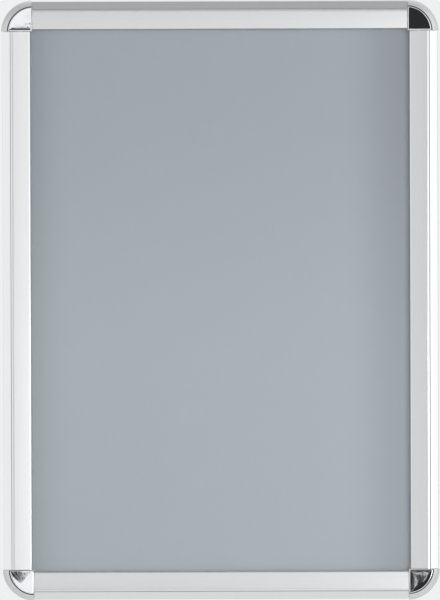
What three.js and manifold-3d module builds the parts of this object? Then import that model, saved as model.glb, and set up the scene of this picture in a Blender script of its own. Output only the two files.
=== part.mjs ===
// Snap frame for one A2 poster, with satin aluminium rails and round chromed corners.
// Millimetres, +Z up, the front faces -Y, the wall plane is y = 0.
import * as THREE from "three";
import { mergeVertices } from "three/addons/utils/BufferGeometryUtils.js";
import Module from "manifold-3d";

const wasm = await Module();
wasm.setup();

// The poster and the part of each edge that the flaps cover.
const POSTER_WIDTH = 420;
const POSTER_HEIGHT = 594;
const COVERED_EDGE = 8;
const WINDOW_WIDTH = POSTER_WIDTH - 2 * COVERED_EDGE;
const WINDOW_HEIGHT = POSTER_HEIGHT - 2 * COVERED_EDGE;

// The rail section is drawn in u (from the outer edge to the window) and v (off the wall).
const PROFILE_WIDTH = 30;
const BASE_WALL = 1.3;
const FLANGE_END = 27;
const FLANGE_MIDDLE = FLANGE_END / 2;
const EDGE_BREAK = 0.4;
const OUTER_WALL_TOP = 4.6;
const OUTER_WALL_ROUND = 1.2;

// The hinge: a bead on an arm of the base rail, and the flap's hook around it.
const HINGE = new THREE.Vector2(11.5, 9.4);
const BEAD_RADIUS = 1.45;
const ARM_ANGLE = 255;
const ARM_WALL = 1.0;
const HOOK_INNER = 1.7;
const HOOK_OUTER = 3.0;
const HOOK_START = -81;
const HOOK_END = 143;
const LIP_RADIUS = 3.35;
const LIP_ANGLE = 156;

// The flap: a sloped face, a rounded inner lip and a foot that holds the cover sheet down.
const FACE_SLOPE = 10.5;
const FLAP_WALL = 1.2;
const FLAP_LIP_ROUND = 2.0;
const FOOT_HEIGHT = 3.6;
const FOOT_TOE = 0.8;
const HOOK_TIP = -87;
const NOTCH_RADIUS = 0.34;

// The leaf springs stand between a notch in the flap's hook and a grooved rib of the base rail.
const SPRING_RADIUS = 3.25;
const SPRING_REST_ANGLE = -68.5;
const SPRING_SEAT = new THREE.Vector2(19.45, 5.95);
const SPRING_WALL = 0.5;
const SPRING_BOW = 0.55;
const SPRING_LENGTH = 30;
const SPRING_CORNER = 2;
const RIB_INNER = 20.9;
const RIB_GROOVE = 19.75;
const RIB_FACE = 19.4;
const RIB_LIP = 18.9;
const GROOVE_HALF = 0.65;
const GROOVE_LIP = 0.7;

// The sheets behind the flaps.
const PANEL = { width: 421, height: 595, wall: 1.0, back: 1.5 };
const COVER = { width: POSTER_WIDTH, height: POSTER_HEIGHT, wall: 0.5, back: 2.9 };

// The corners, drawn in a and b (outward from the window's corner) and v. Their arcs share one centre.
const CORNER_PROUD = 1.1;
const CORNER_CENTRE = -3.4;
const CORNER_RADIUS = PROFILE_WIDTH + CORNER_PROUD - CORNER_CENTRE;
const CORNER_SIDE = -1.9;
const CORNER_WALL = 1.8;
const RING_WALL = 2.8;
const RING_FOOT = 4.1;
const RING_LIP_RADIUS = 28.0;
const RING_LIP_WIDTH = 0.4;
const RING_LIP_BREAK = 0.25;
const RING_BOW = 0.7;
const RING_TOP = 10.9;
const GROOVE_FLOOR = 9.4;
const GROOVE_DRAFT = 0.1;
const PAD_RADIUS = 27.0;
const PAD_TOP = 12.45;
const PAD_DEPTH = 2.4;
const PAD_ROUND = 0.9;
const PAD_END_ROUND = 1.6;
const PAD_SIDE_STEP = 0.15;
const PAD_TILT = 0.068;
const PAD_INNER_ROUND = 2.2;
const CAVITY_TOP = 7.6;
const CAVITY_SHOULDER = 3.6;
const CAVITY_SHOULDER_RADIUS = 29.5;
const SHEET_POCKET = 9.4;
const SHEET_POCKET_TOP = 3.75;
const RAIL_END_GAP = 0.4;

// Tenons, screws and the holes for the wall.
const TENON_SECTION = [[1.7, 1.65], [7.7, 1.65], [8.6, 4.7], [6.0, 6.7], [1.7, 3.6]];
const TENON_LENGTH = 26;
const TENON_ROOT = 8;
const SCREW_U = 5.5;
const SCREW_INSET = 13;
const SCREW_SUNK = 0.1;
const SCREW_HEAD_RADIUS = 2.6;
const SCREW_HEAD_DEPTH = 1.3;
const SCREW_SHANK_RADIUS = 1.2;
const SCREW_TIP = 5.4;
const SCREW_POINT = 1;
const SCREW_GAP = 0.25;
const WALL_HOLE_RADIUS = 2.25;
const WALL_HOLE_U = 16.4;
const WALL_HOLE_INSET = 48;

// How finely round faces are stepped, and how far a cutting shape reaches past what it cuts.
const ARC_STEP = 15;
const QUARTER_STEPS = 20;
const BOW_STEPS = 6;
const SCREW_STEPS = 12;
const HOLE_STEPS = 16;
const SAME_POINT = 1e-4;
const PAST = 1;
const FAR_PAST = 5;
const CUT_HEIGHT = 30;
const DEGREE = Math.PI / 180;

const ALUMINIUM = new THREE.MeshStandardMaterial({
  name: "anodised_aluminium", color: 0xd9dbdd, roughness: 0.36, metalness: 1,
});
const CHROME = new THREE.MeshStandardMaterial({
  name: "chromed_plastic", color: 0xe6e8ea, roughness: 0.08, metalness: 1,
});
const SPRING_STEEL = new THREE.MeshStandardMaterial({
  name: "spring_steel", color: 0x8f9296, roughness: 0.3, metalness: 1,
});
const ZINC = new THREE.MeshStandardMaterial({
  name: "zinc_plated_steel", color: 0xc3c6c8, roughness: 0.32, metalness: 1,
});
const GREY_SHEET = new THREE.MeshStandardMaterial({
  name: "grey_polystyrene", color: 0xa7adb2, roughness: 0.6, metalness: 0,
});
const CLEAR_SHEET = new THREE.MeshStandardMaterial({
  name: "clear_cover", color: 0xf2f5f6, roughness: 0.4, metalness: 0, transparent: true, opacity: 0.2,
});

// A point at an angle and a distance from a centre.
function polar(centre, radius, degrees) {
  const angle = degrees * DEGREE;
  return new THREE.Vector2(centre.x + radius * Math.cos(angle), centre.y + radius * Math.sin(angle));
}

// A closed outline made of straight stretches and arcs.
class Outline {
  constructor() {
    this.points = [];
  }

  to(u, v) {
    this.points.push(new THREE.Vector2(u, v));
    return this;
  }

  arc(centre, radius, from, to, step = ARC_STEP) {
    const count = Math.max(1, Math.ceil(Math.abs(to - from) / step));
    for (let i = 0; i <= count; i += 1) {
      const point = polar(centre, radius, from + ((to - from) * i) / count);
      if (!this.points.length || this.points.at(-1).distanceTo(point) > SAME_POINT) {
        this.points.push(point);
      }
    }
    return this;
  }

  shape() {
    return new THREE.Shape(this.points);
  }
}

function extrude(shape, length) {
  const geometry = new THREE.ExtrudeGeometry(shape, { depth: length, bevelEnabled: false });
  return geometry.translate(0, 0, -length / 2);
}

function solid(geometry) {
  const bare = new THREE.BufferGeometry();
  bare.setAttribute("position", geometry.getAttribute("position"));
  bare.setIndex(geometry.getIndex());
  const merged = mergeVertices(bare, SAME_POINT);
  const mesh = new wasm.Mesh({
    numProp: 3,
    vertProperties: new Float32Array(merged.getAttribute("position").array),
    triVerts: new Uint32Array(merged.getIndex().array),
  });
  return new wasm.Manifold(mesh);
}

function geometryOf(manifold) {
  const mesh = manifold.getMesh();
  const geometry = new THREE.BufferGeometry();
  geometry.setAttribute("position", new THREE.BufferAttribute(new Float32Array(mesh.vertProperties), 3));
  geometry.setIndex(new THREE.BufferAttribute(new Uint32Array(mesh.triVerts), 1));
  return geometry;
}

function cut(geometry, tools) {
  let body = solid(geometry);
  for (const tool of tools) {
    body = body.subtract(solid(tool));
  }
  return geometryOf(body);
}

function named(name, geometry, material) {
  const mesh = new THREE.Mesh(geometry, material);
  mesh.name = name;
  return mesh;
}

function turned(x, y, z) {
  return new THREE.Matrix4().makeBasis(x, y, z);
}

// The lip of the base rail ends in an arc around the hinge, where the shoulder's two faces meet it.
function shoulderLines() {
  const top = polar(HINGE, LIP_RADIUS, LIP_ANGLE);
  const along = new THREE.Vector2(0 - top.x, OUTER_WALL_TOP - top.y).normalize();
  const inward = new THREE.Vector2(-along.y, along.x);
  const start = top.clone().addScaledVector(inward, BASE_WALL);
  const offset = start.clone().sub(HINGE);
  const half = offset.dot(along);
  const reach = Math.sqrt(half * half - offset.lengthSq() + LIP_RADIUS * LIP_RADIUS) - half;
  const inner = start.clone().addScaledVector(along, reach);
  const foot = inner.clone().addScaledVector(along, (BASE_WALL - inner.x) / along.x);
  const innerAngle = 360 + Math.atan2(inner.y - HINGE.y, inner.x - HINGE.x) / DEGREE;
  return { top, along, inner, foot, innerAngle };
}

function baseRailShape() {
  const armSide = Math.asin(ARM_WALL / 2 / BEAD_RADIUS) / DEGREE;
  const down = polar(new THREE.Vector2(), 1, ARM_ANGLE);
  const across = new THREE.Vector2(-down.y, down.x).multiplyScalar(ARM_WALL / 2);
  const armFoot = (side) => {
    const edge = HINGE.clone().addScaledVector(across, side);
    return edge.addScaledVector(down, (BASE_WALL - edge.y) / down.y);
  };
  const shoulder = shoulderLines();
  const seat = SPRING_SEAT.y;
  const slope = Math.atan2(-shoulder.along.y, -shoulder.along.x) / DEGREE;
  const roundLength = OUTER_WALL_ROUND * Math.tan(((90 - slope) / 2) * DEGREE);
  const roundCentre = new THREE.Vector2(OUTER_WALL_ROUND, OUTER_WALL_TOP - roundLength);
  return new Outline()
    .to(EDGE_BREAK, 0)
    .to(FLANGE_END, 0)
    .to(FLANGE_END, BASE_WALL)
    .to(RIB_INNER, BASE_WALL)
    .to(RIB_INNER, seat + GROOVE_HALF + GROOVE_LIP)
    .to(RIB_LIP, seat + GROOVE_HALF + GROOVE_LIP)
    .to(RIB_LIP, seat + GROOVE_HALF)
    .to(RIB_GROOVE, seat + GROOVE_HALF)
    .to(RIB_GROOVE, seat - GROOVE_HALF)
    .to(RIB_FACE, seat - 2 * GROOVE_HALF)
    .to(RIB_FACE, BASE_WALL)
    .to(armFoot(1).x, BASE_WALL)
    .arc(HINGE, BEAD_RADIUS, ARM_ANGLE + armSide - 360, ARM_ANGLE - armSide)
    .to(armFoot(-1).x, BASE_WALL)
    .to(BASE_WALL, BASE_WALL)
    .to(shoulder.foot.x, shoulder.foot.y)
    .arc(HINGE, LIP_RADIUS, shoulder.innerAngle, LIP_ANGLE)
    .arc(roundCentre, OUTER_WALL_ROUND, 90 + slope, 180)
    .to(0, EDGE_BREAK)
    .shape();
}

// The notch's half width seen from the hinge, and its half opening seen from its own centre.
function notchAngles() {
  const squares = HOOK_OUTER ** 2 + SPRING_RADIUS ** 2 - NOTCH_RADIUS ** 2;
  const half = Math.acos(squares / (2 * HOOK_OUTER * SPRING_RADIUS));
  const rest = SPRING_RADIUS ** 2 + NOTCH_RADIUS ** 2 - HOOK_OUTER ** 2;
  const open = Math.acos(rest / (2 * SPRING_RADIUS * NOTCH_RADIUS));
  return [half / DEGREE, open / DEGREE];
}

function flapShape() {
  const faceAngle = 90 - FACE_SLOPE;
  const normal = polar(new THREE.Vector2(), 1, faceAngle);
  const lipU = PROFILE_WIDTH - FLAP_LIP_ROUND;
  const lipRise = (HOOK_OUTER - FLAP_LIP_ROUND - (lipU - HINGE.x) * normal.x) / normal.y;
  const lipCentre = new THREE.Vector2(lipU, HINGE.y + lipRise);
  const underAngle = faceAngle - Math.acos((HOOK_OUTER - FLAP_WALL) / HOOK_OUTER) / DEGREE;
  const lipInner = PROFILE_WIDTH - FLAP_WALL;
  const notch = polar(HINGE, SPRING_RADIUS, SPRING_REST_ANGLE);
  const [notchHalf, notchOpen] = notchAngles();
  const notchBack = SPRING_REST_ANGLE + 180;
  return new Outline()
    .arc(HINGE, HOOK_OUTER, faceAngle, HOOK_END)
    .arc(HINGE, HOOK_INNER, HOOK_END, HOOK_START)
    .arc(HINGE, HOOK_OUTER, HOOK_TIP, SPRING_REST_ANGLE - notchHalf)
    .arc(notch, NOTCH_RADIUS, notchBack + notchOpen, notchBack - notchOpen, 3 * ARC_STEP)
    .arc(HINGE, HOOK_OUTER, SPRING_REST_ANGLE + notchHalf, underAngle)
    .arc(lipCentre, FLAP_LIP_ROUND - FLAP_WALL, faceAngle, 0)
    .to(lipInner, FOOT_HEIGHT + 2 * FOOT_TOE)
    .to(lipInner - FOOT_TOE, FOOT_HEIGHT + FOOT_TOE)
    .to(lipInner - FOOT_TOE, FOOT_HEIGHT)
    .to(PROFILE_WIDTH, FOOT_HEIGHT)
    .arc(lipCentre, FLAP_LIP_ROUND, 0, faceAngle)
    .shape();
}

// A bowed leaf plate with clipped corners, from the rib's groove to the notch in the flap's hook.
function springGeometry() {
  const tip = polar(HINGE, SPRING_RADIUS, SPRING_REST_ANGLE);
  const chord = tip.clone().sub(SPRING_SEAT);
  const width = chord.length();
  const radius = (width * width / 4 + SPRING_BOW * SPRING_BOW) / (2 * SPRING_BOW);
  const half = Math.asin(width / 2 / radius) / DEGREE;
  const centre = new THREE.Vector2(width / 2, radius - SPRING_BOW);
  const outer = radius + SPRING_WALL / 2;
  const inner = radius - SPRING_WALL / 2;
  const bow = new Outline()
    .arc(centre, outer, 270 - half, 270 + half, ARC_STEP / 2)
    .arc(centre, inner, 270 + half, 270 - half, ARC_STEP / 2);
  const plate = extrude(bow.shape(), SPRING_LENGTH);
  const end = SPRING_LENGTH / 2;
  const clipped = new THREE.Shape()
    .moveTo(-PAST, end - SPRING_CORNER)
    .lineTo(-PAST, -end + SPRING_CORNER)
    .lineTo(SPRING_CORNER - PAST, -end - PAST)
    .lineTo(width + PAST - SPRING_CORNER, -end - PAST)
    .lineTo(width + PAST, -end + SPRING_CORNER)
    .lineTo(width + PAST, end - SPRING_CORNER)
    .lineTo(width + PAST - SPRING_CORNER, end + PAST)
    .lineTo(SPRING_CORNER - PAST, end + PAST);
  const keep = extrude(clipped, CUT_HEIGHT).rotateX(-Math.PI / 2);
  const spring = geometryOf(solid(plate).intersect(solid(keep)));
  const across = chord.clone().normalize();
  const basis = turned(
    new THREE.Vector3(across.x, across.y, 0),
    new THREE.Vector3(across.y, -across.x, 0),
    new THREE.Vector3(0, 0, -1),
  );
  return spring.applyMatrix4(basis).translate(SPRING_SEAT.x, SPRING_SEAT.y, 0);
}

// A countersunk screw, or with a gap the hole that it sits in, open at the rail's rear face.
function screwGeometry(gap = 0) {
  const head = SCREW_HEAD_RADIUS + gap;
  const shank = SCREW_SHANK_RADIUS + gap;
  const mouth = [new THREE.Vector2(0, -PAST), new THREE.Vector2(head, -PAST)];
  const points = [
    ...(gap ? mouth : [new THREE.Vector2(0, SCREW_SUNK)]),
    new THREE.Vector2(head, SCREW_SUNK),
    new THREE.Vector2(shank, SCREW_SUNK + SCREW_HEAD_DEPTH),
    new THREE.Vector2(shank, SCREW_TIP - SCREW_POINT + gap),
    new THREE.Vector2(0, SCREW_TIP + gap),
  ];
  return new THREE.LatheGeometry(points, SCREW_STEPS);
}

function baseRailGeometry(length) {
  const tools = [];
  const depth = 2 * (BASE_WALL + PAST);
  for (const end of [-1, 1]) {
    const hole = new THREE.CylinderGeometry(WALL_HOLE_RADIUS, WALL_HOLE_RADIUS, depth, HOLE_STEPS);
    tools.push(hole.translate(WALL_HOLE_U, 0, end * (length / 2 - WALL_HOLE_INSET)));
    tools.push(screwGeometry(SCREW_GAP).translate(SCREW_U, 0, end * (length / 2 - SCREW_INSET)));
  }
  return cut(extrude(baseRailShape(), length), tools);
}

// One side of the frame: base rail, snap flap and the springs between them.
function railGroup(side) {
  const rail = new THREE.Group();
  const length = side.window + 2 * CORNER_SIDE - 2 * RAIL_END_GAP;
  rail.add(named(`${side.name}_base_rail`, baseRailGeometry(length), ALUMINIUM));
  rail.add(named(`${side.name}_snap_flap`, extrude(flapShape(), length), ALUMINIUM));
  side.springs.forEach((place, index) => {
    const spring = springGeometry().translate(0, 0, place);
    rail.add(named(`${side.name}_spring_${index + 1}`, spring, SPRING_STEEL));
  });
  for (const end of [-1, 1]) {
    const screw = screwGeometry().translate(SCREW_U, 0, end * (length / 2 - SCREW_INSET));
    rail.add(named(`${side.name}_corner_screw_${end < 0 ? 1 : 2}`, screw, ZINC));
  }
  rail.applyMatrix4(turned(
    new THREE.Vector3(0, 0, 1),
    new THREE.Vector3(0, -1, 0),
    new THREE.Vector3(1, 0, 0),
  ));
  rail.position.set(0, 0, -(side.reach + PROFILE_WIDTH));
  const turn = new THREE.Group();
  turn.rotation.y = side.turn * DEGREE;
  turn.add(rail);
  return turn;
}

// Points along a shallow bow between two ends, raised away from the corner's middle.
function bowed(from, to, rise, count) {
  const along = new THREE.Vector2().subVectors(to, from);
  const across = new THREE.Vector2(-along.y, along.x).normalize();
  return Array.from({ length: count + 1 }, (unused, i) => {
    const t = i / count;
    return from.clone().addScaledVector(along, t).addScaledVector(across, -4 * rise * t * (1 - t));
  });
}

// Stands a turned piece on the wall plane, around the centre of the corner's arcs.
function aroundCentre(geometry) {
  return geometry.rotateX(Math.PI / 2).translate(CORNER_CENTRE, CORNER_CENTRE, 0);
}

// The shoulder ring around the corner's pad, as a full turn before it is cut to the corner's plan.
function ringGeometry() {
  const low = new THREE.Vector2(CORNER_RADIUS, RING_FOOT);
  const high = new THREE.Vector2(RING_LIP_RADIUS + RING_LIP_WIDTH, RING_TOP);
  const points = [
    new THREE.Vector2(0, 0),
    new THREE.Vector2(CORNER_RADIUS - EDGE_BREAK, 0),
    new THREE.Vector2(CORNER_RADIUS, EDGE_BREAK),
    ...bowed(low, high, RING_BOW, BOW_STEPS),
    new THREE.Vector2(RING_LIP_RADIUS, RING_TOP - RING_LIP_BREAK),
    new THREE.Vector2(RING_LIP_RADIUS - GROOVE_DRAFT, GROOVE_FLOOR),
    new THREE.Vector2(0, GROOVE_FLOOR),
  ];
  return aroundCentre(new THREE.LatheGeometry(points, 4 * QUARTER_STEPS));
}

function cavityGeometry() {
  const points = [
    new THREE.Vector2(0, -PAST),
    new THREE.Vector2(CORNER_RADIUS - RING_WALL, -PAST),
    new THREE.Vector2(CORNER_RADIUS - RING_WALL, CAVITY_SHOULDER),
    new THREE.Vector2(CAVITY_SHOULDER_RADIUS, CAVITY_TOP),
    new THREE.Vector2(0, CAVITY_TOP),
  ];
  return aroundCentre(new THREE.LatheGeometry(points, 2 * QUARTER_STEPS));
}

function boxAt(from, to) {
  const size = new THREE.Vector3().subVectors(to, from);
  const middle = new THREE.Vector3().addVectors(from, to).multiplyScalar(0.5);
  return new THREE.BoxGeometry(size.x, size.y, size.z).translate(middle.x, middle.y, middle.z);
}

// The pad's outline around the arcs' centre: an arc, two straight sides and three rounded corners.
function padShape(inset) {
  const radius = PAD_RADIUS - inset;
  const side = CORNER_SIDE - CORNER_CENTRE + PAD_SIDE_STEP + inset;
  const inner = new THREE.Vector2(side + PAD_INNER_ROUND, side + PAD_INNER_ROUND);
  const low = side + PAD_END_ROUND;
  const high = Math.sqrt((radius - PAD_END_ROUND) ** 2 - low ** 2);
  const turn = Math.atan2(low, high) / DEGREE;
  return new Outline()
    .arc(new THREE.Vector2(high, low), PAD_END_ROUND, -90, turn, 2 * ARC_STEP)
    .arc(new THREE.Vector2(), radius, turn, 90 - turn, 90 / QUARTER_STEPS)
    .arc(new THREE.Vector2(low, high), PAD_END_ROUND, 90 - turn, 180, 2 * ARC_STEP)
    .arc(inner, PAD_INNER_ROUND, 180, 270, 2 * ARC_STEP)
    .shape();
}

// The pad leans a little towards the window, so its outer edge stands highest.
function leanPad(geometry) {
  const lean = new THREE.Matrix4().set(
    1, 0, 0, 0,
    0, 1, 0, 0,
    PAD_TILT, PAD_TILT, 1, -PAD_TILT * PAD_RADIUS,
    0, 0, 0, 1,
  );
  return geometry.applyMatrix4(lean).translate(CORNER_CENTRE, CORNER_CENTRE, 0);
}

function padGeometry() {
  const geometry = new THREE.ExtrudeGeometry(padShape(0), {
    depth: PAD_DEPTH,
    bevelEnabled: true,
    bevelSize: PAD_ROUND,
    bevelOffset: -PAD_ROUND,
    bevelThickness: PAD_ROUND,
    bevelSegments: 3,
  });
  return leanPad(geometry.translate(0, 0, PAD_TOP - PAD_DEPTH - PAD_ROUND));
}

// The hollow behind the pad, which starts inside the corner's cavity.
function padPocketGeometry() {
  const depth = PAD_TOP - CORNER_WALL - CAVITY_TOP + 2 * PAST;
  const geometry = new THREE.ExtrudeGeometry(padShape(2 * CORNER_WALL), { depth, bevelEnabled: false });
  return leanPad(geometry.translate(0, 0, CAVITY_TOP - 2 * PAST));
}

// The tenon fills the rail's outer channel with a running gap.
function tenonGeometry(alongA) {
  const section = new THREE.Shape(TENON_SECTION.map(([u, v]) => new THREE.Vector2(u, v)));
  const length = TENON_LENGTH + TENON_ROOT;
  const prism = new THREE.ExtrudeGeometry(section, { depth: length, bevelEnabled: false });
  const minusA = new THREE.Vector3(-1, 0, 0);
  const minusB = new THREE.Vector3(0, -1, 0);
  const front = new THREE.Vector3(0, 0, 1);
  if (alongA) {
    prism.translate(0, 0, -TENON_ROOT);
    return prism.applyMatrix4(turned(minusB, front, minusA)).translate(0, PROFILE_WIDTH, 0);
  }
  prism.translate(0, 0, -TENON_LENGTH);
  const plusB = new THREE.Vector3(0, 1, 0);
  return prism.applyMatrix4(turned(minusA, front, plusB)).translate(PROFILE_WIDTH, 0, 0);
}

function cornerGeometry() {
  const far = CORNER_RADIUS + FAR_PAST;
  const outermost = new THREE.Vector3(far, far, CUT_HEIGHT);
  const wall = CORNER_SIDE + CORNER_WALL;
  const plan = boxAt(new THREE.Vector3(CORNER_SIDE, CORNER_SIDE, -FAR_PAST), outermost);
  const inside = boxAt(new THREE.Vector3(wall, wall, -FAR_PAST), outermost);
  const sheets = boxAt(
    new THREE.Vector3(-FAR_PAST, -FAR_PAST, -FAR_PAST),
    new THREE.Vector3(SHEET_POCKET, SHEET_POCKET, SHEET_POCKET_TOP),
  );
  const hollow = solid(cavityGeometry()).intersect(solid(inside)).add(solid(padPocketGeometry()));
  let body = solid(ringGeometry()).intersect(solid(plan));
  body = body.add(solid(padGeometry())).subtract(hollow).subtract(solid(sheets));
  body = body.add(solid(tenonGeometry(true))).add(solid(tenonGeometry(false)));
  const reach = CORNER_SIDE - RAIL_END_GAP - SCREW_INSET;
  const across = PROFILE_WIDTH - SCREW_U;
  for (const [a, b] of [[reach, across], [across, reach]]) {
    const hole = screwGeometry(SCREW_GAP).rotateX(Math.PI / 2).translate(a, b, 0);
    body = body.subtract(solid(hole));
  }
  return geometryOf(body);
}

function cornerMesh(corner) {
  const mesh = named(`${corner.name}_corner`, cornerGeometry(), CHROME);
  mesh.applyMatrix4(turned(
    new THREE.Vector3(-1, 0, 0),
    new THREE.Vector3(0, 0, -1),
    new THREE.Vector3(0, -1, 0),
  ));
  const turn = new THREE.Group();
  turn.rotation.y = corner.turn * DEGREE;
  turn.position.set(corner.x * WINDOW_WIDTH / 2, 0, corner.z * WINDOW_HEIGHT / 2);
  turn.add(mesh);
  return turn;
}

function sheetMesh(name, sheet, material) {
  const geometry = new THREE.BoxGeometry(sheet.width, sheet.wall, sheet.height);
  return named(name, geometry.translate(0, -sheet.back - sheet.wall / 2, 0), material);
}

const LEVEL = { window: WINDOW_WIDTH, reach: WINDOW_HEIGHT / 2, springs: [-110, 110] };
const UPRIGHT = { window: WINDOW_HEIGHT, reach: WINDOW_WIDTH / 2, springs: [-190, 0, 190] };
const SIDES = [
  { name: "bottom", turn: 0, ...LEVEL },
  { name: "left", turn: 90, ...UPRIGHT },
  { name: "top", turn: 180, ...LEVEL },
  { name: "right", turn: 270, ...UPRIGHT },
];
const CORNERS = [
  { name: "bottom_left", turn: 0, x: -1, z: -1 },
  { name: "top_left", turn: 90, x: -1, z: 1 },
  { name: "top_right", turn: 180, x: 1, z: 1 },
  { name: "bottom_right", turn: 270, x: 1, z: -1 },
];

// The origin is the middle of the top rail's rear face.
const frame = new THREE.Group();
frame.position.z = -(WINDOW_HEIGHT / 2 + PROFILE_WIDTH - FLANGE_MIDDLE);
for (const side of SIDES) {
  frame.add(railGroup(side));
}
for (const corner of CORNERS) {
  frame.add(cornerMesh(corner));
}
frame.add(sheetMesh("back_panel", PANEL, GREY_SHEET));
frame.add(sheetMesh("cover_sheet", COVER, CLEAR_SHEET));

const group = new THREE.Group();
group.add(frame);
export default group;
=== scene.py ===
"""Looks of a wall snap frame for one A2 poster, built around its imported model.

Sizes are in millimetres and angles in degrees, and meshes are made in metres. A rail is drawn in
u, from its outer edge to the window, v, off the wall, and w, along the rail. A corner is drawn in
a and b, outward from the window's corner, and v.
"""

import logging
import math
from dataclasses import dataclass, field
from enum import Enum
from typing import Iterable, Self, Sequence

import bmesh
import bpy
from bpy.types import ID, Material, Mesh, Node, NodeSocket, NodeTree, Object
from mathutils import Matrix, Vector


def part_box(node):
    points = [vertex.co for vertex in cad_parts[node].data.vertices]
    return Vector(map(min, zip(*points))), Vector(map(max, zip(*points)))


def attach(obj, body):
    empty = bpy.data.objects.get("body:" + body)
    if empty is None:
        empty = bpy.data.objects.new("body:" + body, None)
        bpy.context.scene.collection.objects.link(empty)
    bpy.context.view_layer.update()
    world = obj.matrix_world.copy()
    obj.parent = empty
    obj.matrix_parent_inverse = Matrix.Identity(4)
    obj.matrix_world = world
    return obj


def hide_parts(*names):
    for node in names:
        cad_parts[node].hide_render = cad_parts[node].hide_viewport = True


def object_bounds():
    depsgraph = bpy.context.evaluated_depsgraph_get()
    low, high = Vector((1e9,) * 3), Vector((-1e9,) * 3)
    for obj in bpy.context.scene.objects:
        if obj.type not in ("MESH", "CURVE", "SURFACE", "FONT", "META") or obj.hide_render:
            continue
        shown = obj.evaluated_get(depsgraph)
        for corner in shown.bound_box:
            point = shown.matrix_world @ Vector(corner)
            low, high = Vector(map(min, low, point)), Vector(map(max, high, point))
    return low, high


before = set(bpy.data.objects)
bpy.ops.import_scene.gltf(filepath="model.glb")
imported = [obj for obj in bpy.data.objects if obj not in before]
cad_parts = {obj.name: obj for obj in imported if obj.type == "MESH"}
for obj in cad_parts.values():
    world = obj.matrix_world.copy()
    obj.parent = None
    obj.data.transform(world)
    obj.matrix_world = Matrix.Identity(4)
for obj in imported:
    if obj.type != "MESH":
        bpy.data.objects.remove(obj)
CAD_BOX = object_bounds()

LOG = logging.getLogger("snap_frame")
RAIL_PLACE = "rail_place"
MM = 0.001
NEAR = 1e-4
MERGE_DISTANCE = 1e-7
ARC_STEP = 6.0
SHARP_TURN = 26.0
SMOOTH_ANGLE = 32.0
# The share of an edge that the rounding at one of its ends may take.
ROUND_SHARE = 0.4
# How squarely a face of a drawn section looks along w where it is a sawn end.
END_FACING = 0.9
# The span that holds nearly all of a noise's values.
NOISE_SPAN = (0.28, 0.72)
# How far one solid reaches past the face of another that it cuts or joins.
PAST = 1.0
# A rail's two ends, by the sign of w.
ENDS = (-1, 1)
# The places of a Mix node's sockets for colours: its share, its two colours and its result.
MIX_SHARE, MIX_FIRST, MIX_SECOND, MIX_RESULT = 0, 6, 7, 2

Point = tuple[float, float, float]
Colour = tuple[float, float, float]


class Named(Enum):
    """A choice whose name is part of the names of nodes and bodies."""

    @property
    def word(self) -> str:
        """The choice's name as the nodes and bodies spell it."""
        return self.name.lower()


class Side(Named):
    """The four rails, each with its turn about the frame's middle, seen from the front."""

    BOTTOM = 0
    LEFT = 90
    TOP = 180
    RIGHT = 270


class Corner(Named):
    """The four corners, each with its turn about its own window corner."""

    BOTTOM_LEFT = 0
    TOP_LEFT = 90
    TOP_RIGHT = 180
    BOTTOM_RIGHT = 270


class Cut(Enum):
    """What one solid does to another."""

    JOIN = "UNION"
    TAKE = "DIFFERENCE"
    KEEP = "INTERSECT"


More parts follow.
